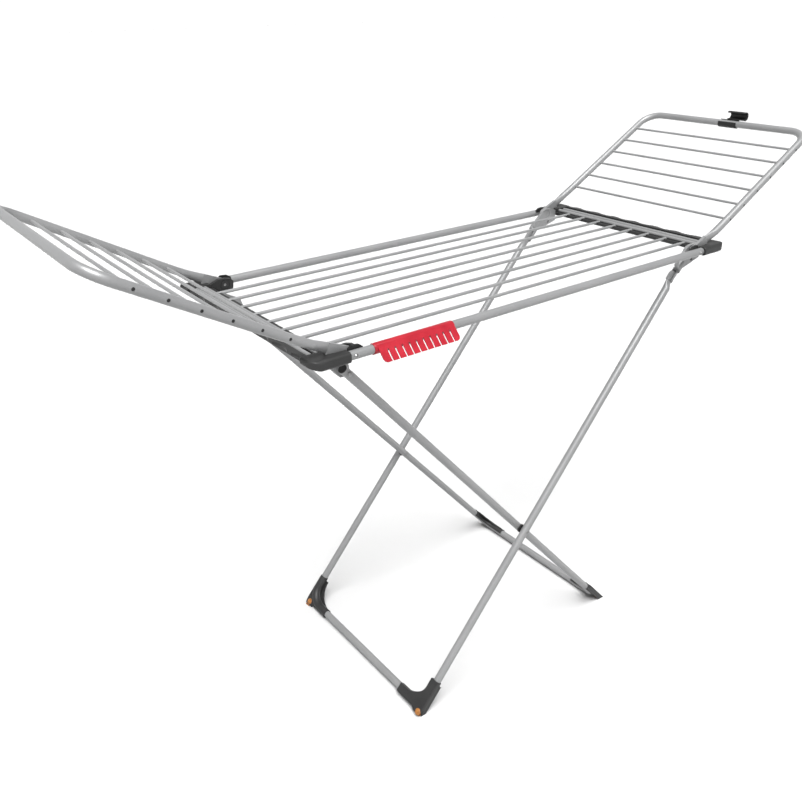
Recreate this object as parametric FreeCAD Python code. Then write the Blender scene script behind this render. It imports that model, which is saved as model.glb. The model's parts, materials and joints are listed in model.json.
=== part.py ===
import FreeCAD, Part
import math
import os

# Folding clothes drying rack with two raised wings, in millimetres.
# X runs along the rack, Y across it and Z up. The origin is on the floor under the middle.
V = FreeCAD.Vector
X_AXIS, Y_AXIS, Z_AXIS = V(1, 0, 0), V(0, 1, 0), V(0, 0, 1)

# ---- driving dimensions ----
TUBE_R, TUBE_WALL = 9.0, 1.2          # all the frame tubes
ROD_R = 3.6                           # drying rods of the middle
WING_ROD_R = 3.1                      # drying rods of the wings
RAIL_Y, RAIL_Z = 257.0, 975.5         # side rail's axis
RAIL_HALF = 572.0
ROD_COUNT, ROD_PITCH = 8, 53.4
BAR_R = 5.0                           # end bars that close the middle frame
BAR_X = (565.0, 584.0)                # inner and outer end bar
BAR_Z = RAIL_Z + 3.0
BAR_HALF = 244.0

HINGE_X = 515.0                       # wing hinge, in the rail's side
HINGE_PIN_R = 3.0
EYE_Y = (239.5, 247.2)                # flattened end of a wing's tube
EYE_HALF = 11.0
BOSS_Y = (230.2, 237.6)               # hinge boss, inside the eye
BOSS_R = 17.0

WING_Y = 246.5                        # wing's side tube
WING_ANGLE = 29.0
WING_LINE_X = 532.2                   # where the straight tube's line meets the rail's height
WING_STRAIGHT = 123.0                 # from there, along the line, to the first straight point
WING_END = 493.6                      # and to the end bar
WING_CORNER_R = 48.0
WING_ROD_FIRST, WING_ROD_PITCH, WING_ROD_COUNT = 124.6, 58.8, 6

FOOT_X, FOOT_Z = 320.0, 14.0          # bottom bars of the legs
LEG_CORNER_R = 42.0
OUTER_LEG_Y, INNER_LEG_Y = 238.5, 217.5
OUTER_LEG_DX, OUTER_LEG_DZ = 820.0, 961.5      # slope of the outer leg
LEG_HINGE_X, LEG_HINGE_Z = -503.0, 922.5       # inner leg's hinge on the frame
LEG_PIN_R = 3.5
CROSS_PIN_R = 3.5
OUTER_REACH = 727.0                   # crossing to the outer leg's top end
RUN_CLEAR = 0.05                      # radial play of a pin in a hole that turns on it

COMB_X = (-474.0, -285.0)             # comb clip on the front rail
COMB_TEETH = 11
CLIP_Y = (-44.0, 9.0)              # storage clip on the right wing's end bar

os.makedirs("parts", exist_ok=True)


def save(name, shape):
    """Writes one node's solid or solids."""
    shape.exportStep("parts/" + name + ".step")


def group(shapes):
    return Part.makeCompound(shapes)


def flip_x(shape):
    return shape.mirror(V(0, 0, 0), X_AXIS)


def flip_y(shape):
    return shape.mirror(V(0, 0, 0), Y_AXIS)


def fuse(shapes):
    """One clean solid from several that overlap."""
    first = shapes[0]
    return first.multiFuse(shapes[1:]).removeSplitter() if len(shapes) > 1 else first


def rod(start, end, radius):
    """Solid round bar between two points."""
    return Part.makeCylinder(radius, (end - start).Length, start, end - start)


def y_disc(x, z, y0, y1, radius):
    """Round bar along Y at (x, z)."""
    return Part.makeCylinder(radius, y1 - y0, V(x, y0, z), Y_AXIS)


def box(x0, x1, y0, y1, z0, z1):
    return Part.makeBox(x1 - x0, y1 - y0, z1 - z0, V(x0, y0, z0))


def plate_xz(points, y0, y1):
    """Flat plate whose outline lies in an XZ plane."""
    corners = [V(x, y0, z) for x, z in points]
    face = Part.Face(Part.makePolygon(corners + corners[:1]))
    return face.extrude(V(0, y1 - y0, 0))


def rounded_plate(points, radii, at, depth):
    """Plate whose outline's corners are rounded; `at` turns an outline point into a 3D one."""
    corners = [at(*p) for p in points]
    count = len(corners)
    edges, starts, ends = [], [], []
    for i, radius in enumerate(radii):
        corner = corners[i]
        back = (corners[i - 1] - corner).normalize()
        ahead = (corners[(i + 1) % count] - corner).normalize()
        if not radius:
            starts.append(corner)
            ends.append(corner)
            continue
        half = back.getAngle(ahead) / 2
        reach = radius / math.tan(half)
        start, end = corner + back * reach, corner + ahead * reach
        centre = corner + (back + ahead).normalize() * (radius / math.sin(half))
        middle = centre + (corner - centre).normalize() * radius
        edges.append(Part.Arc(start, middle, end).toShape())
        starts.append(start)
        ends.append(end)
    for i in range(count):
        edges.append(Part.makeLine(ends[i], starts[(i + 1) % count]))
    wire = Part.Wire(Part.__sortEdges__(edges))
    return Part.Face(wire).extrude(depth)


def rounded_xz(points, radii, y0, y1):
    """Rounded plate in an XZ plane; heights count from the rail's axis."""
    return rounded_plate(points, radii, lambda x, z: V(x, y0, RAIL_Z + z), V(0, y1 - y0, 0))


def plate_yz(points, x0, x1):
    """Flat plate whose outline lies in a YZ plane."""
    corners = [V(x0, y, z) for y, z in points]
    face = Part.Face(Part.makePolygon(corners + corners[:1]))
    return face.extrude(V(x1 - x0, 0, 0))


def soften(shape, radius, pick=lambda edge: True):
    """Rounds the edges that pick accepts, and leaves the shape alone where that fails."""
    edges = [e for e in shape.Edges if pick(e)]
    try:
        rounded = shape.makeFillet(radius, edges)
        return rounded if rounded.isValid() else shape
    except Exception:
        return shape


def oval(centre, along, half_y, half_up):
    """Closed oval wire across the direction `along`, which lies in an XZ plane."""
    up = along.cross(Y_AXIS) * -1
    if abs(half_y - half_up) < 1e-6:
        return Part.Wire(Part.makeCircle(half_y, centre, along))
    if half_up > half_y:
        ellipse = Part.Ellipse(centre + up * half_up, centre + Y_AXIS * half_y, centre)
    else:
        ellipse = Part.Ellipse(centre + Y_AXIS * half_y, centre + up * half_up, centre)
    return Part.Wire(ellipse.toShape())


def pipe(path, radius, bore=0.0):
    """Round tube swept along a wire, hollow where a bore radius is given."""
    start = path.Edges[0].valueAt(path.Edges[0].FirstParameter)
    along = path.Edges[0].tangentAt(path.Edges[0].FirstParameter)

    def sweep(r):
        ring = Part.Wire(Part.makeCircle(r, start, along))
        return path.makePipeShell([ring], True, False)

    return sweep(radius).cut(sweep(bore)) if bore else sweep(radius)


def corner_arc(before, corner, after, radius):
    """Arc that rounds a square corner, with its two tangent points."""
    u, v = (before - corner).normalize(), (after - corner).normalize()
    start, end = corner + u * radius, corner + v * radius
    centre = corner + (u + v) * radius
    middle = centre + (corner - centre).normalize() * radius
    return start, Part.Arc(start, middle, end).toShape(), end


def u_path(top_back, corner_back, corner_front, top_front, radius):
    """Path of a U-bent tube: down one side, across the bar and up the other side."""
    a0, arc_a, a1 = corner_arc(top_back, corner_back, corner_front, radius)
    b0, arc_b, b1 = corner_arc(corner_back, corner_front, top_front, radius)
    line = Part.makeLine
    return Part.Wire([line(top_back, a0), arc_a, line(a1, b0), arc_b, line(b1, top_front)])


# ---- middle frame ----
def side_rail():
    """Back rail, a tube drilled across for the wing hinge pins."""
    tube = rod(V(-RAIL_HALF, RAIL_Y, RAIL_Z), V(RAIL_HALF, RAIL_Y, RAIL_Z), TUBE_R)
    tube = tube.cut(rod(V(-RAIL_HALF - 1, RAIL_Y, RAIL_Z), V(RAIL_HALF + 1, RAIL_Y, RAIL_Z),
                        TUBE_R - TUBE_WALL))
    for x in (-HINGE_X, HINGE_X):
        tube = tube.cut(y_disc(x, RAIL_Z, RAIL_Y - 20, RAIL_Y + 20, HINGE_PIN_R))
    return tube


def rod_places():
    return [(i - (ROD_COUNT - 1) / 2) * ROD_PITCH for i in range(ROD_COUNT)]


def drying_rods():
    """Middle rods, butted against the inner end bars."""
    end = BAR_X[0]
    bars = [rod(V(x, -BAR_HALF, BAR_Z), V(x, BAR_HALF, BAR_Z), BAR_R) for x in (-end, end)]
    made = []
    for y in rod_places():
        one = rod(V(-end, y, RAIL_Z), V(end, y, RAIL_Z), ROD_R)
        made.append(one.cut(bars[0]).cut(bars[1]))
    return group([max(one.Solids, key=lambda solid: solid.Volume) for one in made])


def end_bar(x):
    tube = rod(V(x, -BAR_HALF, BAR_Z), V(x, BAR_HALF, BAR_Z), BAR_R)
    return tube.cut(rod(V(x, -BAR_HALF - 1, BAR_Z), V(x, BAR_HALF + 1, BAR_Z), BAR_R - 1.0))


STRIP_Z = (RAIL_Z - 7.5, RAIL_Z - 2.2)              # floor of the hanger strip, under the end bars
STRIP_X = (547.0, 598.0)
STRIP_HALF = 226.0
SHELF_X, SHELF_Z = 610.0, (RAIL_Z + 5.0, RAIL_Z + 10.0)
SCALLOPS, SCALLOP_DEPTH = 7, 6.0


def hanger_strip():
    """Right hanger strip: a channel that carries the end bars, with a scalloped shelf for hooks."""
    z0, z1 = STRIP_Z
    half = STRIP_HALF
    shelf = box(STRIP_X[1] - 4, SHELF_X, -half, half, *SHELF_Z)
    pitch = 2 * half / SCALLOPS
    radius = (pitch * pitch / 4 + SCALLOP_DEPTH ** 2) / (2 * SCALLOP_DEPTH)
    for i in range(SCALLOPS + 1):
        y = -half + i * pitch
        shelf = shelf.cut(Part.makeCylinder(radius * 0.62, 40,
                                            V(SHELF_X + radius * 0.62 - SCALLOP_DEPTH, y, RAIL_Z - 13)))
    floor = box(STRIP_X[0], STRIP_X[1], -half, half, z0, z1)
    inner = box(STRIP_X[0], STRIP_X[0] + 9, -half, half, z0, RAIL_Z + 1)
    middle = (BAR_X[0] + BAR_X[1]) / 2
    web = box(middle - 2, middle + 2, -half, half, z0, RAIL_Z + 1)
    wall = box(STRIP_X[1] - 4, STRIP_X[1], -half, half, z0, SHELF_Z[1] - 1)
    strip = fuse([floor, inner, web, wall, shelf])
    strip = soften(strip, 1.5, lambda e: e.BoundBox.YLength > 2 * half - 1)
    for y in rod_places():
        strip = strip.cut(rod(V(500, y, RAIL_Z), V(BAR_X[0], y, RAIL_Z), ROD_R))
    return strip


CAP_X = (527.0, 612.0)
CAP_Y = (226.3, 270.5)
CAP_Z = (-10.0, 11.5)                  # from the rail's axis
LANE_Y = (238.9, 247.9)                # room beside the boss for the wing's flat end


def corner_cap():
    """Right back cap: a rounded hood on the rail's end, joined to the block that holds the end bars."""
    x0, x1 = CAP_X
    y0, y1 = CAP_Y
    z0, z1 = CAP_Z
    plan = rounded_plate([(x0, 249.5), (x0, y1), (x1, y1), (x1, y0), (552, y0), (552, 249.5)],
                         [0, 2, 24, 8, 1, 0], lambda x, y: V(x, y, RAIL_Z + z0 - 1),
                         V(0, 0, z1 - z0 + 2))
    side = rounded_xz([(x0 - 5, z0), (586, z0), (x1, -1), (x1, z1), (x0 - 5, z1)],
                      [0, 10, 6, 8, 0], 200, 290)
    end = rounded_plate([(y0 - 5, z0 + 0.7), (y1, z0), (y1, z1), (y0 - 5, z1 - 1.2)], [0, 7, 8, 0],
                        lambda y, z: V(x0 - 5, y, RAIL_Z + z), V(x1 - x0 + 10, 0, 0))
    cap = plan.common(side).common(end)
    lane = rounded_xz([(519, -9), (527, -7), (552, 3), (563, 8), (576, 14), (576, 40), (519, 40)],
                      [0] * 7, *LANE_Y)
    cap = cap.cut(lane)
    cap = cap.cut(rod(V(x0 - 5, RAIL_Y, RAIL_Z), V(RAIL_HALF, RAIL_Y, RAIL_Z), TUBE_R))
    for x in BAR_X:
        cap = cap.cut(rod(V(x, 200, BAR_Z), V(x, BAR_HALF, BAR_Z), BAR_R))
    return max(cap.Solids, key=lambda solid: solid.Volume)


def stop_tab():
    """Right back ear on the rail that closes the outer side of the wing's hinge."""
    tab = rounded_xz([(490, 3.6), (491, 9.5), (500, 15), (516, 16.5), (523, 10), (523, 3.6)],
                     [0, 3, 4, 3, 3, 0], 247.8, 252.6)
    return tab.cut(rod(V(480, RAIL_Y, RAIL_Z), V(540, RAIL_Y, RAIL_Z), TUBE_R))


def hinge_pin():
    """Right back wing hinge rivet, headed on the rail's outer side and inside the boss."""
    y_in, y_out = BOSS_Y[0], RAIL_Y + TUBE_R
    shank = y_disc(HINGE_X, RAIL_Z, y_in, y_out, HINGE_PIN_R)
    head = Part.makeCone(4.8, 3.2, 2.0, V(HINGE_X, y_out, RAIL_Z), Y_AXIS)
    return shank.fuse(head)


BOSS_OUTLINE = [(495, -12), (494, 5), (500, 11), (514, 14.5), (531, 14), (551.9, 6), (551.9, -17),
                (504, -17)]
BOSS_CORNERS = [6, 4, 5, 8, 8, 0, 0, 8]


def hinge_boss():
    """Left or right back boss that the wing's eye turns against, tied to the corner cap."""
    boss = rounded_xz(BOSS_OUTLINE, BOSS_CORNERS, BOSS_Y[0] + 0.2, BOSS_Y[1])
    ring = y_disc(HINGE_X, RAIL_Z, BOSS_Y[0] - 5, BOSS_Y[0] + 1.4, BOSS_R - 5)
    ring = ring.cut(y_disc(HINGE_X, RAIL_Z, BOSS_Y[0] - 6, BOSS_Y[0] + 2, BOSS_R - 8))
    boss = boss.cut(ring)
    return boss.cut(y_disc(HINGE_X, RAIL_Z, 220, 250, HINGE_PIN_R))


# ---- legs ----
OUTER_FOOT = V(-FOOT_X, 0, FOOT_Z)
OUTER_UP = V(OUTER_LEG_DX, 0, OUTER_LEG_DZ).normalize()
INNER_FOOT = V(FOOT_X, 0, FOOT_Z)
LEG_HINGE = V(LEG_HINGE_X, 0, LEG_HINGE_Z)
INNER_UP = (LEG_HINGE - INNER_FOOT).normalize()


def crossing():
    """Point in the XZ plane where the two legs cross."""
    gap = INNER_FOOT - OUTER_FOOT
    det = OUTER_UP.x * INNER_UP.z - OUTER_UP.z * INNER_UP.x
    along = (gap.x * INNER_UP.z - gap.z * INNER_UP.x) / det
    return OUTER_FOOT + OUTER_UP * along


CROSS = crossing()
OUTER_LOW = (CROSS - OUTER_FOOT).Length
INNER_TOP_PAST = 13.0                  # inner leg's tube past its hinge
PINCH_FLAT, PINCH_LOFT = 27.0, 20.0    # outer leg's flattened end and the run into it
PINCH_Y = (229.7, 237.6)


def at_y(point, y):
    return V(point.x, y, point.z)


def leg_tube(foot, up, length, y):
    """U-bent tube of one leg frame, `length` from the bottom bar to the open tops."""
    top = foot + up * length
    path = u_path(at_y(top, y), at_y(foot, y), at_y(foot, -y), at_y(top, -y), LEG_CORNER_R)
    return pipe(path, TUBE_R, TUBE_R - TUBE_WALL)


def pinched_top(start, along, y_round, y_flat, half_up, loft, flat):
    """Back tube end that runs from round to flat and ends half-round, as a pressed tube does."""
    mid_y, half_y = (y_flat[0] + y_flat[1]) / 2, (y_flat[1] - y_flat[0]) / 2
    side = along.cross(Y_AXIS) * -1
    run = Part.makeLoft([
        oval(at_y(start, y_round), along, TUBE_R, TUBE_R),
        oval(at_y(start + along * loft, mid_y), along, half_y, half_up)], True)
    at = start + along * loft
    blade_end = at + along * (flat - half_up)
    corners = [at + side * half_up, at - side * half_up, blade_end - side * half_up,
               blade_end + side * half_up]
    corners = [at_y(c, y_flat[0]) for c in corners]
    blade = Part.Face(Part.makePolygon(corners + corners[:1])).extrude(V(0, 2 * half_y, 0))
    blade = blade.fuse(y_disc(blade_end.x, blade_end.z, y_flat[0], y_flat[1], half_up))
    return fuse([run, blade.removeSplitter()])


def outer_leg_tube():
    round_length = OUTER_LOW + OUTER_REACH - PINCH_FLAT - PINCH_LOFT
    tube = leg_tube(OUTER_FOOT, OUTER_UP, round_length, OUTER_LEG_Y)
    start = OUTER_FOOT + OUTER_UP * round_length
    end = pinched_top(start, OUTER_UP, OUTER_LEG_Y, PINCH_Y, TUBE_R + 1.5,
                      PINCH_LOFT, PINCH_FLAT)
    tube = fuse([tube, end, flip_y(end)])
    for y in (OUTER_LEG_Y, -OUTER_LEG_Y):
        tube = tube.cut(y_disc(CROSS.x, CROSS.z, y - 12, y + 12, CROSS_PIN_R + RUN_CLEAR))
    return tube


def inner_leg_tube():
    length = (LEG_HINGE - INNER_FOOT).Length + INNER_TOP_PAST
    tube = leg_tube(INNER_FOOT, INNER_UP, length, INNER_LEG_Y)
    for y in (INNER_LEG_Y, -INNER_LEG_Y):
        tube = tube.cut(y_disc(LEG_HINGE.x, LEG_HINGE.z, y - 12, y + 12, LEG_PIN_R + RUN_CLEAR))
        tube = tube.cut(y_disc(CROSS.x, CROSS.z, y - 12, y + 12, CROSS_PIN_R))
    return tube


def inner_leg_plugs():
    """Plastic plugs that close the inner leg's two tops, beyond the hinge pin."""
    end = LEG_HINGE + INNER_UP * INNER_TOP_PAST
    plugs = []
    for y in (INNER_LEG_Y, -INNER_LEG_Y):
        stem = rod(at_y(end - INNER_UP * 8, y), at_y(end, y), TUBE_R - TUBE_WALL)
        rim = rod(at_y(end, y), at_y(end + INNER_UP * 2, y), TUBE_R)
        plugs.append(stem.fuse(rim).removeSplitter())
    return group(plugs)


PIN_HEAD_R, PIN_HEAD = 6.0, 1.8


def crossing_rivets():
    """Rivets through both legs where they cross, fixed in the inner leg."""
    made = []
    for flip in (False, True):
        y0, y1 = INNER_LEG_Y - TUBE_R - 0.4, OUTER_LEG_Y + TUBE_R + 0.4
        rivet = y_disc(CROSS.x, CROSS.z, y0, y1, CROSS_PIN_R)
        rivet = rivet.fuse(Part.makeCone(3.6, PIN_HEAD_R, PIN_HEAD, V(CROSS.x, y0 - PIN_HEAD, CROSS.z),
                                         Y_AXIS))
        rivet = rivet.fuse(Part.makeCone(4.6, 3.2, 1.2, V(CROSS.x, y1, CROSS.z), Y_AXIS))
        rivet = rivet.removeSplitter()
        made.append(flip_y(rivet) if flip else rivet)
    return group(made)


def crossing_spacers():
    """Plastic washers between the legs at the crossing."""
    y0, y1 = INNER_LEG_Y + TUBE_R - 2.2, OUTER_LEG_Y - TUBE_R - 0.3
    ring = y_disc(CROSS.x, CROSS.z, y0, y1, 10.5)
    ring = ring.cut(rod(at_y(CROSS - INNER_UP * 30, INNER_LEG_Y),
                        at_y(CROSS + INNER_UP * 30, INNER_LEG_Y), TUBE_R))
    ring = ring.cut(y_disc(CROSS.x, CROSS.z, y0 - 5, y1 + 1, CROSS_PIN_R))
    return group([ring, flip_y(ring)])


def leg_bracket():
    """Back hinge bracket of the inner leg: an ear hung from the left end bars."""
    hx, hz = LEG_HINGE.x, LEG_HINGE.z
    y0, y1 = 196.0, 206.5
    top = STRIP_Z[0] - 0.1
    outline = [(-590, top), (hx - 30, top), (hx + 6, hz + 26), (hx + 13, hz + 6), (hx + 13, hz - 3),
               (hx + 6, hz - 12), (hx - 7, hz - 12), (hx - 26, hz + 8), (-560, top - 10), (-590, top - 8)]
    ear = plate_xz(outline, y0, y1)
    rib = plate_xz([(-590, top), (hx - 42, top), (hx - 42, top - 5), (-590, top - 5)], y1, y1 + 5)
    boss = y_disc(hx, hz, y0, INNER_LEG_Y - TUBE_R - 0.4, 9.0)
    ear = fuse([ear, rib, boss])
    return ear.cut(y_disc(hx, hz, y0 - 5, y1 + 15, LEG_PIN_R))


def leg_pin():
    """Back hinge pin of the inner leg, fixed in the bracket's ear."""
    outer = INNER_LEG_Y + TUBE_R
    pin = y_disc(LEG_HINGE.x, LEG_HINGE.z, 194.5, outer + 0.4, LEG_PIN_R)
    head = Part.makeCone(5.5, 4.0, 1.5, V(LEG_HINGE.x, outer + 0.4, LEG_HINGE.z), Y_AXIS)
    tail = y_disc(LEG_HINGE.x, LEG_HINGE.z, 193.0, 196.0, 5.5)
    return fuse([pin, head, tail])


REST_GAP = 0.6
REST_SLOPE = 0.45                      # rise of the rest's seat towards the middle, per millimetre


REST_LENGTH = 30.0


def rest_ends():
    """Lower corners of the rest's slanted seat, in the XZ plane, and the leg's sideways direction."""
    side = V(-OUTER_UP.z, 0, OUTER_UP.x)
    end = CROSS + OUTER_UP * (OUTER_REACH + REST_GAP)
    low = end - side * TUBE_R
    high = end + side * TUBE_R + OUTER_UP * (2 * TUBE_R * REST_SLOPE)
    return low, high


def leg_stub():
    """Right back stub that the outer leg's top butts against, in line with the leg."""
    low, high = rest_ends()
    end = CROSS + OUTER_UP * OUTER_REACH
    stub = rod(at_y(end, OUTER_LEG_Y), at_y(end + OUTER_UP * REST_LENGTH, OUTER_LEG_Y), TUBE_R - 0.3)
    far = OUTER_UP * -40
    outer = (high - low).normalize() * 10
    below = [low - outer, high + outer, high + outer + far, low - outer + far]
    return stub.cut(plate_xz([(c.x, c.z) for c in below], 200, 280))


def leg_rest():
    """Right back arm from the hinge boss and the cap that carries the leg's stub."""
    low, high = rest_ends()
    arm = plate_xz([(low.x + 5, low.z + 7), (high.x + 3, high.z + 3), (high.x + 14, high.z + 18),
                    (HINGE_X - 12, RAIL_Z + 11), (HINGE_X + 5, RAIL_Z - BOSS_R),
                    (551.9, RAIL_Z - BOSS_R), (551.9, RAIL_Z - 24), (low.x + 24, low.z + 10)],
                   BOSS_Y[0] + 0.2, BOSS_Y[1])
    rest = fuse([hinge_boss(), arm])
    window = y_disc(HINGE_X + 8, RAIL_Z - 24, 220, 250, 4)
    rest = rest.cut(window).cut(leg_stub())
    return max(rest.Solids, key=lambda solid: solid.Volume)


# ---- feet ----
FOOT_ARM = 70.0                        # foot's length up the leg, from the bar's axis
FOOT_BAR = 78.0                        # and along the bar, from the leg's axis


FOOT_R = 10.8                          # shell's outer radius round the tube
FOOT_OPEN = -5.5                       # the inner feet's channel is open below this
WEB = (7.2, 10.8)                      # flat web between the arms, from the tube's axis
TOE = 34.0                             # how far the web runs past the bar's axis, before the floor
TOE_WIDTH = 26.0
PAD_Y, PAD_END = (3.5, 18.0), 11.2      # insert: from the shell's side, and its far face


def foot(base, up, leg_y, open_below, pad_top, pad_n):
    """Back foot: a shell clipped over the tube's corner, with a web, a toe and an insert."""
    side = V(up.z, 0, -up.x)
    edge_y = leg_y + FOOT_R
    bar_y = leg_y - FOOT_BAR
    arm = FOOT_ARM - 8

    def at(s, n, y):
        point = base + up * s + side * n
        return V(point.x, y, point.z)

    def slab(points, n0, n1, radii=None):
        return rounded_plate(points, radii or [0] * len(points), lambda s, y: at(s, n0, y),
                             side * (n1 - n0))

    def tube(radius):
        path = u_path(at(150, 0, leg_y), at(0, 0, leg_y), at(0, 0, -leg_y), at(150, 0, -leg_y),
                      LEG_CORNER_R)
        return pipe(path, radius)

    sleeve = tube(FOOT_R).common(slab([(FOOT_ARM, edge_y + 5), (-30, edge_y + 5), (-30, bar_y),
                                       (FOOT_ARM, bar_y)], open_below, 20))
    centre_s, centre_y, radius = arm, bar_y + 9, arm - 7
    curve = [(centre_s - radius * math.cos(math.radians(a)), centre_y + radius * math.sin(math.radians(a)))
             for a in range(0, 91, 6)]
    outline = [(arm, edge_y), (-TOE, edge_y), (-TOE, edge_y - TOE_WIDTH), (-FOOT_R - 2, edge_y - TOE_WIDTH),
               (-FOOT_R + 1, edge_y - 38), (-FOOT_R + 3, centre_y)] + curve
    web = slab(outline, *WEB)
    wall = rounded_plate([(arm, WEB[1]), (-TOE, WEB[1]), (-TOE, WEB[0]), (-12, -3), (arm, -3)], [0] * 5,
                         lambda s, n: at(s, n, edge_y - 2.4), V(0, 2.4, 0))
    rim_y = edge_y - TOE_WIDTH
    rim = slab([(-9, rim_y), (-TOE, rim_y), (-TOE, rim_y + 2.4), (-9, rim_y + 2.4)], 0, WEB[1])
    notch = slab([(-15, edge_y - 30), (-15, edge_y - 24), (-9, edge_y - 24), (-9, edge_y - 30)], 0, 20,
                 [2, 2, 2, 2])
    shell = fuse([sleeve, web, wall, rim]).cut(tube(TUBE_R + 0.05)).cut(notch)
    below = box(base.x - 200, base.x + 200, 100, 320, -60, 0)
    pad = slab([(-TOE, edge_y - PAD_Y[1]), (pad_top, edge_y - PAD_Y[1]), (pad_top, edge_y - PAD_Y[0]),
                (-TOE, edge_y - PAD_Y[0])], pad_n, PAD_END, [0, 4, 4, 0])
    pad = pad.cut(below).cut(tube(TUBE_R + 0.05))
    shell = shell.cut(below).cut(pad)
    return max(shell.Solids, key=lambda solid: solid.Volume), max(pad.Solids, key=lambda solid: solid.Volume)


# ---- wings ----
WING_DIR = V(math.cos(math.radians(WING_ANGLE)), 0, math.sin(math.radians(WING_ANGLE)))
WING_FOOT = V(WING_LINE_X, 0, RAIL_Z)
HINGE = V(HINGE_X, 0, RAIL_Z)
BEND_END = WING_FOOT + WING_DIR * WING_STRAIGHT


def bend_centre():
    """Centre of the arc from the hinge to the straight tube, tangent to the straight tube."""
    normal = V(-WING_DIR.z, 0, WING_DIR.x)
    chord = HINGE - BEND_END
    radius = chord.dot(chord) / (2 * chord.dot(normal))
    return BEND_END + normal * radius, abs(radius)


BEND_CENTRE, BEND_R = bend_centre()


def on_bend(distance):
    """Point of the bend at this distance from the hinge, and the direction there."""
    spoke = HINGE - BEND_CENTRE
    angle = distance / BEND_R
    cos_a, sin_a = math.cos(angle), math.sin(angle)
    turned = V(spoke.x * cos_a - spoke.z * sin_a, 0, spoke.x * sin_a + spoke.z * cos_a)
    along = V(-turned.z, 0, turned.x).normalize()
    return BEND_CENTRE + turned, along


EYE_FLAT, EYE_LOFT_END = 52.0, 86.0     # flat blade and the end of its run to round


def wing_tube():
    """Right wing's U-bent tube, with both ends pressed flat into hinge eyes."""
    start, start_along = on_bend(EYE_LOFT_END)
    middle, _ = on_bend((EYE_LOFT_END + 134) / 2)
    end = WING_FOOT + WING_DIR * WING_END
    a0, arc_a, a1 = corner_arc(at_y(BEND_END, WING_Y), at_y(end, WING_Y), at_y(end, 0), WING_CORNER_R)
    b0, arc_b, b1 = corner_arc(at_y(end, 0), at_y(end, -WING_Y), at_y(BEND_END, -WING_Y),
                               WING_CORNER_R)
    bend = [Part.Arc(at_y(start, y), at_y(middle, y), at_y(BEND_END, y)).toShape()
            for y in (WING_Y, -WING_Y)]
    line = Part.makeLine
    path = Part.Wire([bend[0], line(at_y(BEND_END, WING_Y), a0), arc_a, line(a1, b0), arc_b,
                      line(b1, at_y(BEND_END, -WING_Y)), bend[1]])
    tube = pipe(path, TUBE_R, TUBE_R - TUBE_WALL)
    mid_y, half_y = (EYE_Y[0] + EYE_Y[1]) / 2, (EYE_Y[1] - EYE_Y[0]) / 2
    flat, flat_along = on_bend(EYE_FLAT)
    inner, inner_along = on_bend(EYE_LOFT_END + 0.5)
    loft = Part.makeLoft([oval(at_y(inner, WING_Y), inner_along, TUBE_R, TUBE_R),
                          oval(at_y(flat, mid_y), flat_along, half_y, EYE_HALF)], True)
    side = V(-flat_along.z, 0, flat_along.x)
    eye_side = V(-on_bend(0)[1].z, 0, on_bend(0)[1].x)
    corners = [flat + side * EYE_HALF, flat - side * EYE_HALF, HINGE - eye_side * EYE_HALF,
               HINGE + eye_side * EYE_HALF]
    blade = plate_xz([(c.x, c.z) for c in corners], EYE_Y[0], EYE_Y[1])
    blade = blade.fuse(y_disc(HINGE_X, RAIL_Z, EYE_Y[0], EYE_Y[1], EYE_HALF))
    end_piece = fuse([loft, blade])
    tube = fuse([tube, end_piece, flip_y(end_piece)])
    for y in (mid_y, -mid_y):
        tube = tube.cut(y_disc(HINGE_X, RAIL_Z, y - 12, y + 12, HINGE_PIN_R + RUN_CLEAR))
    half_rod = WING_Y + TUBE_R + 1
    for point in wing_rod_places():
        tube = tube.cut(rod(at_y(point, -half_rod), at_y(point, half_rod), WING_ROD_R))
    return tube


def wing_rod_places():
    return [WING_FOOT + WING_DIR * (WING_ROD_FIRST + i * WING_ROD_PITCH)
            for i in range(WING_ROD_COUNT)]


def wing_rods():
    """Right wing's rods, pressed through the side tubes and sunk a little in their outer holes."""
    half = WING_Y + TUBE_R - 1.5
    return group([rod(at_y(p, -half), at_y(p, half), WING_ROD_R) for p in wing_rod_places()])


CLIP_R = TUBE_R + 0.06
CLIP_WALL = 2.4
GRIP_Y = (-64.0, -12.0)                # upper channel that grips the other wing when folded
GRIP_R = TUBE_R + 0.4
GRIP_AT = (5.0, 22.5)


def channel(x, z, y_range, bore, mouth):
    """C-shaped channel along Y; `mouth` gives the opening's two directions in degrees."""
    y0, y1 = y_range
    outer = bore + CLIP_WALL
    ring = y_disc(x, z, y0, y1, outer)
    wedge = [(x, z)]
    for angle in (mouth[0], (mouth[0] + mouth[1]) / 2, mouth[1]):
        a = math.radians(angle)
        wedge.append((x + 30 * math.cos(a), z + 30 * math.sin(a)))
    return ring.cut(plate_xz(wedge, y0 - 1, y1 + 1))


def storage_clip():
    """Clip that turns on the right wing's end bar, with a second channel for the other wing."""
    end = WING_FOOT + WING_DIR * WING_END
    x, z = end.x, end.z
    grip_x, grip_z = x + GRIP_AT[0], z + GRIP_AT[1]
    web = box(x + 1, x + 10, CLIP_Y[0] + 1, GRIP_Y[1] - 1, z + 6, z + 15)
    clip = fuse([channel(x, z, CLIP_Y, CLIP_R, (70, 150)),
                 channel(grip_x, grip_z, GRIP_Y, GRIP_R, (130, 235)), web])
    clip = clip.cut(y_disc(x, z, -90, 40, CLIP_R))
    return clip.cut(y_disc(grip_x, grip_z, -90, 40, GRIP_R))


# ---- comb clip ----
COMB_WALL = 1.6
COMB_DROP = V(0, -0.687, -0.727)       # direction in which the leaning blade falls
COMB_FACE = V(0, -0.727, 0.687)
COMB_BLADE, COMB_THICK = 34.5, 1.6
SLOT_TOP, SLOT_HALF, HOLE_R = 12.0, 1.6, 2.3


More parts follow.
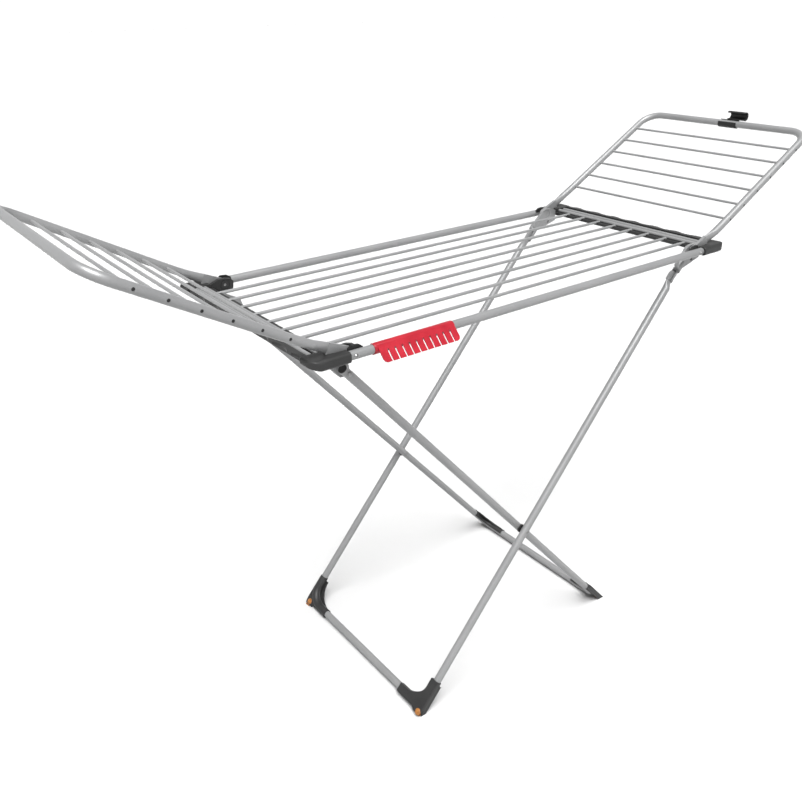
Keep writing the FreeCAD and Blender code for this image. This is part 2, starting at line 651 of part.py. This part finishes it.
def comb_clip():
    """Comb clip that snaps round the front rail and slides on it, with slots under round holes."""
    x0, x1 = COMB_X
    outer_r = TUBE_R + COMB_WALL
    y = -RAIL_Y
    sleeve = rod(V(x0, y, RAIL_Z), V(x1, y, RAIL_Z), outer_r)
    bore = rod(V(x0 - 1, y, RAIL_Z), V(x1 + 1, y, RAIL_Z), TUBE_R + 0.06)
    top = V(0, y, RAIL_Z) + COMB_FACE * (outer_r - COMB_THICK)

    def on_blade(x, down):
        point = top + COMB_DROP * down
        return V(x, point.y, point.z)

    blade = rounded_plate([(x0 + 6, -2), (x0 + 6, COMB_BLADE), (x1 - 1, COMB_BLADE), (x1 - 1, -2)],
                          [0, 9, 9, 0], on_blade, COMB_FACE * COMB_THICK)
    clip = fuse([sleeve, blade]).cut(bore)
    mouth_y = y + 6.0
    clip = clip.cut(box(x0 - 1, x1 + 1, mouth_y, mouth_y + 20, RAIL_Z - 20, RAIL_Z + 20))
    pitch = (x1 - x0 - 9) / COMB_TEETH
    for i in range(1, COMB_TEETH):
        x = x0 + 8 + i * pitch
        slot = rounded_plate([(x - SLOT_HALF, SLOT_TOP), (x - SLOT_HALF, COMB_BLADE + 2),
                              (x + SLOT_HALF, COMB_BLADE + 2), (x + SLOT_HALF, SLOT_TOP)], [0] * 4,
                             lambda px, down: on_blade(px, down) - COMB_FACE * 6, COMB_FACE * 20)
        hole = Part.makeCylinder(HOLE_R, 20, on_blade(x, SLOT_TOP) - COMB_FACE * 6, COMB_FACE)
        clip = clip.cut(slot).cut(hole)
    return clip


def four_corners(name, back_right, places):
    """Saves a corner piece mirrored to each named place."""
    for place in places:
        shape = back_right
        if place.startswith("left"):
            shape = flip_x(shape)
        if place.endswith("front"):
            shape = flip_y(shape)
        save(name + "_" + place, shape)


CORNERS = ("left_front", "left_back", "right_front", "right_back")


def main():
    rail = side_rail()
    save("side_rail_back", rail)
    save("side_rail_front", flip_y(rail))
    save("drying_rods", drying_rods())
    for name, x in zip(("inner", "outer"), BAR_X):
        save("end_bar_" + name + "_right", end_bar(x))
        save("end_bar_" + name + "_left", end_bar(-x))
    strip = hanger_strip()
    save("hanger_strip_right", strip)
    save("hanger_strip_left", flip_x(strip))
    four_corners("corner_cap", corner_cap(), CORNERS)
    four_corners("stop_tab", stop_tab(), CORNERS)
    four_corners("hinge_boss", hinge_boss(), CORNERS[:2])
    four_corners("leg_rest", leg_rest(), CORNERS[2:])
    four_corners("leg_stub", leg_stub(), CORNERS[2:])
    pin = hinge_pin()
    save("wing_hinge_pins", group([pin, flip_x(pin), flip_y(pin), flip_x(flip_y(pin))]))
    bracket = leg_bracket()
    save("leg_bracket_back", bracket)
    save("leg_bracket_front", flip_y(bracket))
    save("leg_hinge_pins", group([leg_pin(), flip_y(leg_pin())]))

    save("outer_leg_tube", outer_leg_tube())
    save("inner_leg_tube", inner_leg_tube())
    save("inner_leg_plugs", inner_leg_plugs())
    save("crossing_rivets", crossing_rivets())
    save("crossing_spacers", crossing_spacers())
    for name, base, up, leg_y, open_below, pad_top, pad_n in (
            ("outer", OUTER_FOOT, OUTER_UP, OUTER_LEG_Y, -FOOT_R - 1, 4.0, -2.5),
            ("inner", INNER_FOOT, INNER_UP, INNER_LEG_Y, FOOT_OPEN, -12.0, 1.5)):
        shell, pad = foot(base, up, leg_y, open_below, pad_top, pad_n)
        save(name + "_foot_back", shell)
        save(name + "_foot_front", flip_y(shell))
        save(name + "_foot_pads", group([pad, flip_y(pad)]))

    tube, rods = wing_tube(), wing_rods()
    save("wing_tube_right", tube)
    save("wing_tube_left", flip_x(tube))
    save("wing_rods_right", rods)
    save("wing_rods_left", flip_x(rods))
    save("storage_clip", storage_clip())
    save("comb_clip", comb_clip())


main()
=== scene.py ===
import json
import math

import bpy
import numpy as np
from mathutils import Matrix, Vector


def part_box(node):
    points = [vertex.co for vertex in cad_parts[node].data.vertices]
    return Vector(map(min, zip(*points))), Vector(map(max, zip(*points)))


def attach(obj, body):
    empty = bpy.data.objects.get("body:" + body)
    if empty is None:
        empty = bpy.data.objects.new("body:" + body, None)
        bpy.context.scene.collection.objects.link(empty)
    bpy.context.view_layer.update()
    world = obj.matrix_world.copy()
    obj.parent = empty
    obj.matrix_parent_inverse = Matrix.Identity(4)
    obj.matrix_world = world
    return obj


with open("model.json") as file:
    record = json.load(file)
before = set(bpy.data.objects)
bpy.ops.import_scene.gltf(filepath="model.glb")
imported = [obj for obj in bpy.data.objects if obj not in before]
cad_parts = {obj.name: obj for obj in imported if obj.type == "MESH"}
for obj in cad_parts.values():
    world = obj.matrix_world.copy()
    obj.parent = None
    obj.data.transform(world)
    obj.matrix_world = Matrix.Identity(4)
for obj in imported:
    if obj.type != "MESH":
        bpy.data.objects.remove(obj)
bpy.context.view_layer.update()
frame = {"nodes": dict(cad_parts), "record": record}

NODES = frame["nodes"]
SLOTS = {row["node"]: row["material_slot"] for row in frame["record"]["subparts"]}

# Lengths are metres and colours are linear. Places come from the boxes of the CAD nodes.
RAIL_LOW, RAIL_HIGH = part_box("side_rail_back")
PINS_LOW, PINS_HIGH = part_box("wing_hinge_pins")
CROSSING_LOW, CROSSING_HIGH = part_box("crossing_rivets")
LEG_LOW, LEG_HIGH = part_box("outer_leg_tube")
RODS_LOW, RODS_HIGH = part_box("wing_rods_right")

TUBE_R = (RAIL_HIGH.z - RAIL_LOW.z) / 2
RAIL_Z = (RAIL_HIGH.z + RAIL_LOW.z) / 2
HINGE_X = PINS_HIGH.x - (PINS_HIGH.z - PINS_LOW.z) / 2
CROSSING_X = (CROSSING_LOW.x + CROSSING_HIGH.x) / 2
CROSSING_Z = (CROSSING_LOW.z + CROSSING_HIGH.z) / 2
FOOT_AXIS = np.array((LEG_LOW.x + TUBE_R, LEG_HIGH.y - TUBE_R, LEG_LOW.z + TUBE_R))
LEG_UP = np.array((0.649, 0.0, 0.761))
FOOT_FACE = np.array((-0.761, 0.0, 0.649))
SEATING = 0.0001
POLE = 0.00002
ENDS = ((-1, "front"), (1, "back"))
WAYS = ((-1, "left"), (1, "right"))


# ---- shader maths ----
class Value:
    """A socket that Python operators turn into Math nodes."""

    def __init__(self, tree, socket):
        self.tree = tree
        self.socket = socket

    def math(self, operation, first, second):
        return self.tree.add("ShaderNodeMath", {"operation": operation}, {0: first, 1: second})

    def __add__(self, other):
        return self.math("ADD", self, other)

    def __radd__(self, other):
        return self.math("ADD", other, self)

    def __sub__(self, other):
        return self.math("SUBTRACT", self, other)

    def __rsub__(self, other):
        return self.math("SUBTRACT", other, self)

    def __mul__(self, other):
        return self.math("MULTIPLY", self, other)

    def __rmul__(self, other):
        return self.math("MULTIPLY", other, self)


class Nodes:
    """A node tree, with one method that adds any node."""

    def __init__(self, tree):
        self.tree = tree

    def set(self, socket, value):
        if isinstance(value, Value):
            self.tree.links.new(value.socket, socket)
        else:
            socket.default_value = value

    def add(self, kind, settings, values, output=0):
        node = self.tree.nodes.new(kind)
        for name, setting in settings.items():
            setattr(node, name, setting)
        for name, value in values.items():
            self.set(node.inputs[name], value)
        return Value(self, node.outputs[output])

    def spread(self, value, low, high, to_low=0.0, to_high=1.0, **settings):
        """Value's stretch from low to high, carried onto the stretch from to_low to to_high."""
        stretches = {0: value, 1: low, 2: high, 3: to_low, 4: to_high}
        return self.add("ShaderNodeMapRange", settings, stretches)


class Paint(Nodes):
    """A material whose patterns lie in the object's own coordinates."""

    def __init__(self, name):
        self.material = bpy.data.materials.new(name)
        self.material.use_nodes = True
        super().__init__(self.material.node_tree)
        self.shader = self.tree.nodes["Principled BSDF"]
        self.place = self.add("ShaderNodeTexCoord", {}, {}, "Object")

    def noise(self, scale, detail=2.0, rough=0.5):
        values = {"Vector": self.place, "Scale": scale, "Detail": detail, "Roughness": rough}
        return self.add("ShaderNodeTexNoise", {}, values)

    def mixed(self, factor, first, second):
        values = {0: factor, 6: first, 7: second}
        return self.add("ShaderNodeMix", {"data_type": "RGBA"}, values, 2)

    def bump(self, height, strength, distance):
        values = {"Height": height, "Strength": strength, "Distance": distance}
        return self.add("ShaderNodeBump", {}, values)

    def finish(self, **sockets):
        for name, value in sockets.items():
            self.set(self.shader.inputs[name.replace("_", " ")], value)
        return self.material


# the middle stretch of a noise, where nearly all its values lie
MIDDLE = (0.35, 0.65)


def grey(level, warm=0.0):
    return (level * (1 + warm), level, level * (1 - warm), 1)


def silver_paint(name, level):
    """Satin silver paint: cloudy tone, fine grain, orange peel and a few rubbed spots."""
    paint = Paint(name)
    cloud = paint.noise(9.0, 3.0)
    grain = paint.noise(900.0, 2.0, 0.6)
    peel = paint.noise(420.0)
    rubbed = paint.spread(paint.noise(38.0, 5.0, 0.65), 0.60, 0.72)
    tone = paint.spread(cloud * 0.6 + grain * 0.4, *MIDDLE)
    colour = paint.mixed(tone, grey(level * 0.93, -0.012), grey(level * 1.07, -0.006))
    colour = paint.mixed(rubbed * 0.35, colour, grey(level * 1.28, 0.004))
    rough = 0.36 + cloud * 0.08 + grain * 0.05 - rubbed * 0.08
    relief = paint.bump(peel * 0.7 + grain * 0.3, 0.10, 0.0004)
    return paint.finish(Base_Color=colour, Metallic=0.30, Roughness=rough, Normal=relief,
                        Coat_Weight=0.18, Coat_Roughness=0.22)


def moulded_plastic(name, level, smoothest, relief):
    """Moulded plastic: fine spark-eroded grain, cloudy flow marks and a few pale scuffs."""
    paint = Paint(name)
    grain = paint.noise(1500.0, 3.0, 0.6)
    flow = paint.noise(22.0, 4.0, 0.55)
    scuff = paint.spread(paint.noise(60.0, 6.0, 0.7), 0.62, 0.76)
    tone = paint.spread(flow * 0.7 + grain * 0.3, *MIDDLE)
    colour = paint.mixed(tone, grey(level * 0.82), grey(level * 1.2))
    colour = paint.mixed(scuff * 0.30, colour, grey(level * 2.0 + 0.004))
    rough = smoothest + grain * 0.12 + flow * 0.10 + scuff * 0.08
    return paint.finish(Base_Color=colour, Roughness=rough, Specular_IOR_Level=0.33,
                        Normal=paint.bump(grain, relief, 0.0003))


def red_plastic(name):
    """Smooth red plastic: a little deeper in its flow marks, with a soft glow within."""
    paint = Paint(name)
    flow = paint.noise(30.0, 4.0, 0.6)
    grain = paint.noise(1200.0)
    tone = paint.spread(flow * 0.85 + grain * 0.15, *MIDDLE)
    colour = paint.mixed(tone, (0.235, 0.006, 0.014, 1), (0.30, 0.010, 0.020, 1))
    return paint.finish(Base_Color=colour, Roughness=0.30 + flow * 0.12, Subsurface_Weight=0.12,
                        Subsurface_Radius=(0.004, 0.001, 0.001), Specular_IOR_Level=0.35,
                        Normal=paint.bump(grain, 0.06, 0.0002))


def amber_plastic(name):
    """Amber plastic of the inserts: soft, rubbery and unevenly tinted."""
    paint = Paint(name)
    flow = paint.noise(90.0, 4.0, 0.6)
    tone = paint.spread(flow, *MIDDLE)
    colour = paint.mixed(tone, (0.16, 0.055, 0.008, 1), (0.34, 0.14, 0.03, 1))
    return paint.finish(Base_Color=colour, Roughness=0.34 + flow * 0.1, Subsurface_Weight=0.2,
                        Subsurface_Radius=(0.003, 0.0015, 0.0006),
                        Normal=paint.bump(flow, 0.08, 0.0003))


def plated_steel(name):
    """Dull plated rivet steel with fine handling marks."""
    paint = Paint(name)
    marks = paint.noise(260.0, 5.0, 0.7)
    tone = paint.spread(marks, *MIDDLE)
    colour = paint.mixed(tone, grey(0.16), grey(0.30))
    return paint.finish(Base_Color=colour, Metallic=0.9, Roughness=0.30 + marks * 0.25,
                        Normal=paint.bump(marks, 0.12, 0.0002))


MATERIALS = {
    "tube": silver_paint("silver_tube_paint", 0.205),
    "rod": silver_paint("silver_rod_paint", 0.215),
    "dark_plastic": moulded_plastic("anthracite_plastic", 0.017, 0.36, 0.22),
    "black_plastic": moulded_plastic("black_plastic", 0.007, 0.34, 0.20),
    "comb": red_plastic("red_plastic"),
    "pad": amber_plastic("amber_plastic"),
    "rivet": plated_steel("plated_steel"),
}


# ---- the CAD nodes' finish ----
EDGE_RADIUS = {"dark_plastic": 0.0007, "black_plastic": 0.0006, "comb": 0.0004, "pad": 0.0008}
EDGE_ANGLE = math.radians(35)
SAME_POINT = 0.00001
PAINTED_SILVER = ("leg_bracket", "leg_stub", "leg_rest")


def soft_cap(piece):
    """Rounds a whole block: its shell is rebuilt in small cells, whose points are then relaxed."""
    cells = piece.modifiers.new("cells", "REMESH")
    cells.mode = "VOXEL"
    cells.voxel_size = 0.0009
    cells.use_smooth_shade = True
    relax = piece.modifiers.new("relax", "SMOOTH")
    relax.factor = 0.5
    relax.iterations = 14


def soft_edges(piece, radius):
    """Joins the loose triangles and rounds the edges between them."""
    weld = piece.modifiers.new("weld", "WELD")
    weld.merge_threshold = SAME_POINT
    bevel = piece.modifiers.new("bevel", "BEVEL")
    bevel.width = radius
    bevel.segments = 3
    bevel.limit_method = "ANGLE"
    bevel.angle_limit = EDGE_ANGLE
    bevel.harden_normals = True
    bevel.use_clamp_overlap = True


for name, piece in NODES.items():
    slot = SLOTS[name]
    piece.data.materials.clear()
    piece.data.materials.append(MATERIALS["tube" if name.startswith(PAINTED_SILVER) else slot])
    if name.startswith("corner_cap"):
        soft_cap(piece)
    elif slot in EDGE_RADIUS:
        soft_edges(piece, EDGE_RADIUS[slot])


# ---- new pieces ----
def surface(name, grids, closed, slot, body):
    """One piece of grids of points of the same size; closed joins each row's end to its start."""
    rows, columns = grids[0].shape[:2]
    index = np.arange(rows * columns).reshape(rows, columns)
    ahead = np.roll(index, -1, axis=1) if closed else index[:, 1:]
    here = index if closed else index[:, :-1]
    quads = np.stack([here[:-1], ahead[:-1], ahead[1:], here[1:]], axis=-1).reshape(-1, 4)
    faces = np.concatenate([quads + i * rows * columns for i in range(len(grids))])
    points = np.concatenate([grid.reshape(-1, 3) for grid in grids])
    mesh = bpy.data.meshes.new(name)
    mesh.from_pydata(points.tolist(), [], faces.tolist())
    mesh.polygons.foreach_set("use_smooth", np.ones(len(mesh.polygons), bool))
    mesh.validate()
    mesh.materials.append(MATERIALS[slot])
    piece = bpy.data.objects.new(name, mesh)
    bpy.context.collection.objects.link(piece)
    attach(piece, body)
    return piece


def turned(profile, centre, axis, steps=40):
    """Surface of revolution: each profile point (radius, height) becomes a circle round the axis
    through centre, at centre + height * axis + radius * (cos a * side + sin a * other)."""
    axis = np.array(axis, float)
    side = np.cross(axis, (0.0, 0.0, 1.0))
    side /= np.linalg.norm(side)
    other = np.cross(axis, side)
    angle = np.linspace(0, 2 * math.pi, steps, endpoint=False)
    ring = np.cos(angle)[:, None] * side + np.sin(angle)[:, None] * other
    profile = np.array(profile, float)
    return (np.array(centre) + profile[:, 1, None, None] * axis
            + profile[:, 0, None, None] * ring[None])


def dome(radius, height):
    """Rivet head's profile: a quarter ellipse, r = radius * cos a and h = height * sin a, less a
    shallow bell-shaped dimple in its middle."""
    dimple_depth, dimple_width = 0.35, 0.32
    angle = np.linspace(0, math.pi / 2, 14)
    r = radius * np.cos(angle)
    r[-1] = POLE
    h = height * np.sin(angle) - height * dimple_depth * np.exp(-(r / (radius * dimple_width)) ** 2)
    foot = np.array([[radius, -0.0002]])
    return np.vstack([foot, np.column_stack([r, h])])


for side, way in WAYS:
    for back, end in ENDS:
        place = (side * HINGE_X, back * (RAIL_HIGH.y + SEATING), RAIL_Z)
        head = turned(dome(0.0044, 0.0016), place, (0, back, 0))
        surface(f"hinge_rivet_head_{way}_{end}", [head], True, "rivet", "frame")

for back, end in ENDS:
    place = (CROSSING_X, back * (LEG_HIGH.y + SEATING), CROSSING_Z)
    head = turned(dome(0.0052, 0.0018), place, (0, back, 0))
    surface(f"crossing_rivet_head_{end}", [head], True, "rivet", "inner_legs")


# outer feet: a flat web over each elbow, with a round amber button at its toe.
# A foot's own coordinates are metres up the leg, outwards across it, and out of its plane.
WEB_OUTER = np.array([(70, 11), (0, 11), (-10, 10), (-16, 5), (-16.5, -12), (-11, -19),
                      (-11, -78)]) / 1000
WEB_TOP, WEB_END = (0.070, -0.011), (0.011, -0.078)
BEND_CENTRE, BEND_RADII = (0.048, -0.056), (0.037, 0.045)
WEB_BACK = -0.0008
WEB_FRONT = {"front": 0.0113, "back": 0.0050}
TOE = {"front": (-0.0115, 0.0030), "back": (-0.0075, -0.0035)}
BUTTON = [(0.0078, -0.002), (0.0078, 0.0003), (0.0072, 0.0010), (0.0040, 0.0015), (POLE, 0.0016)]


def on_foot(up, out, face, back):
    """Point of a foot: axis + up * leg direction + out * across + face * plane's normal."""
    across = np.array((0.0, back, 0.0))
    place = FOOT_AXIS * (1, back, 1)
    return place + np.multiply.outer(up, LEG_UP) + np.multiply.outer(out, across) + face * FOOT_FACE


def along(points, count):
    """Evenly spaced points on a polyline, by the distance run along it."""
    steps = np.linalg.norm(np.diff(points, axis=0), axis=1)
    run = np.concatenate([[0], np.cumsum(steps)])
    at = np.linspace(0, run[-1], count)
    return np.column_stack([np.interp(at, run, points[:, 0]), np.interp(at, run, points[:, 1])])


def foot_web(name, back, low, high):
    """L-shaped web ruled between two edges: (1 - t) * inner(s) + t * outer(s). The inner edge runs
    down the leg, round a quarter ellipse and along the base bar; the outer edge bounds the toe."""
    turn = np.linspace(0, math.pi / 2, 24)
    curve = np.column_stack([BEND_CENTRE[0] - BEND_RADII[0] * np.sin(turn),
                             BEND_CENTRE[1] + BEND_RADII[1] * np.cos(turn)])
    inner = along(np.vstack([WEB_TOP, curve, WEB_END]), 96)
    outer = along(WEB_OUTER, 96)
    t = np.linspace(0, 1, 9)[:, None, None]
    flat = (1 - t) * inner + t * outer
    grid = on_foot(flat[..., 0], flat[..., 1], low, back)
    if back > 0:
        grid = grid[::-1]
    web = surface(name, [grid], False, "dark_plastic", "outer_legs")
    faces_away = np.dot(web.data.polygons[0].normal, FOOT_FACE) < 0
    wall = web.modifiers.new("wall", "SOLIDIFY")
    wall.thickness = high - low
    wall.offset = -1 if faces_away else 1
    bevel = web.modifiers.new("bevel", "BEVEL")
    bevel.width = 0.0012
    bevel.segments = 3
    bevel.limit_method = "ANGLE"


for back, end in ENDS:
    foot_web(f"outer_foot_web_{end}", back, WEB_BACK, WEB_FRONT[end])
    up, out = np.array(TOE[end])
    button = turned(BUTTON, on_foot(up, out, WEB_FRONT[end], back), FOOT_FACE)
    surface(f"outer_foot_button_{end}", [button], True, "pad", "outer_legs")


# pressed cradles that back the outer legs' tops against the stubs
LEG_TOP, CRADLE_Y = 0.727, 0.23365
CRADLE_DEEP, CRADLE_WIDE, CRADLE_WALL = 0.0140, 0.0064, 0.0010
CRADLE_RUN = (-0.026, 0.012)


def cradle(name, back):
    """Half an elliptical tube carried up the leg's line: point = axis + s * up
    - deep * cos(t) * face + wide * sin(t) * across, for t over half a turn."""
    s = np.linspace(*CRADLE_RUN, 12)[:, None, None]
    t = np.linspace(-math.pi / 2, math.pi / 2, 33)[None, :, None]
    axis = np.array((CROSSING_X, back * CRADLE_Y, CROSSING_Z)) + LEG_TOP * LEG_UP
    across = np.array((0.0, back, 0.0))
    grid = (axis + s * LEG_UP - CRADLE_DEEP * np.cos(t) * FOOT_FACE
            + CRADLE_WIDE * np.sin(t) * across)
    if back > 0:
        grid = grid[:, ::-1]
    piece = surface(name, [grid], False, "tube", "frame")
    wall = piece.modifiers.new("wall", "SOLIDIFY")
    wall.thickness = CRADLE_WALL
    wall.offset = 0


for back, end in ENDS:
    cradle(f"leg_cradle_{end}", back)


# painted shade: black discs set into the side tubes' outer walls at the wing rods' ends, standing
# in for the shadowed holes the rods end in
WING_RODS, WING_ROD_R, HOLE_SHADE_OUT = 6, 0.0031, 0.0006
HOLE_SHADE = [(0.0030, -0.0012), (0.0030, 0.0002), (0.0027, 0.0006), (0.0014, 0.0008), (POLE, 0.0008)]
ROD_X = np.linspace(RODS_LOW.x + WING_ROD_R, RODS_HIGH.x - WING_ROD_R, WING_RODS)
ROD_Z = np.linspace(RODS_LOW.z + WING_ROD_R, RODS_HIGH.z - WING_ROD_R, WING_RODS)

for side, way in WAYS:
    hole_shades = [turned(HOLE_SHADE, (side * x, back * (RODS_HIGH.y + HOLE_SHADE_OUT), z), (0, back, 0), 20)
             for x, z in zip(ROD_X, ROD_Z) for back in (-1, 1)]
    surface(f"wing_rod_hole_shades_{way}", hole_shades, True, "black_plastic", f"wing_{way}")


# ---- floor, light and camera ----
FLOOR_REACH = 40.0
corners = [(-1, -1), (1, -1), (1, 1), (-1, 1)]
floor_mesh = bpy.data.meshes.new("floor")
floor_mesh.from_pydata([(x * FLOOR_REACH, y * FLOOR_REACH, 0) for x, y in corners], [],
                       [(0, 1, 2, 3)])
floor = bpy.data.objects.new("floor", floor_mesh)
bpy.context.collection.objects.link(floor)
floor_mesh.materials.append(Paint("pale_floor").finish(Base_Color=grey(0.47), Roughness=0.85,
                                                       Specular_IOR_Level=0.0))

# a white horizon under a dimmer dome, so that tops are lit by the lamps and sides by the room
HORIZON, DOME = 1.04, 0.40
HORIZON_TOP, DOME_FOOT = 0.12, 0.45
world = bpy.data.worlds.new("studio")
bpy.context.scene.world = world
world.use_nodes = True
room = Nodes(world.node_tree)
background = room.tree.nodes["Background"]
way_out = room.add("ShaderNodeTexCoord", {}, {}, "Generated")
height = room.add("ShaderNodeSeparateXYZ", {}, {0: way_out}, "Z")
strength = room.spread(height, HORIZON_TOP, DOME_FOOT, HORIZON, DOME,
                       interpolation_type="SMOOTHSTEP")
room.set(background.inputs["Color"], (1, 1, 1, 1))
room.set(background.inputs["Strength"], strength)


def lamp(name, kind, place, target, power, **settings):
    """A soft lamp at place, turned towards target."""
    light = bpy.data.lights.new(name, kind)
    light.energy = power
    for setting, value in settings.items():
        setattr(light, setting, value)
    holder = bpy.data.objects.new(name, light)
    bpy.context.collection.objects.link(holder)
    holder.location = place
    aim = Vector(target) - Vector(place)
    holder.rotation_euler = aim.to_track_quat("-Z", "Y").to_euler()


lamp("canopy", "SUN", (-0.8, -1.2, 4.0), (0, 0, 0), 6.6, angle=math.radians(45))
lamp("key", "AREA", (-1.8, -2.6, 4.2), (0, 0, 0.7), 60, shape="DISK", size=1.6)

CAMERA = (-1.2997, -1.3674, 1.5670)
RIGHT = Vector((0.8090632, -0.5876254, -0.0106363))
DOWN = Vector((-0.2329334, -0.3039903, -0.9237597))
FORWARD = Vector((0.5395913, 0.7498575, -0.3828249))
camera = bpy.data.cameras.new("camera")
camera.sensor_width = 36.0
camera.lens = 37.60
camera.shift_x = 0.0511
camera.shift_y = -0.0729
camera.clip_end = 200
viewer = bpy.data.objects.new("camera", camera)
bpy.context.collection.objects.link(viewer)
turn = Matrix((RIGHT, -DOWN, -FORWARD)).transposed().to_4x4()
viewer.matrix_world = Matrix.Translation(CAMERA) @ turn
bpy.context.scene.camera = viewer
bpy.context.scene.view_settings.view_transform = "Standard"
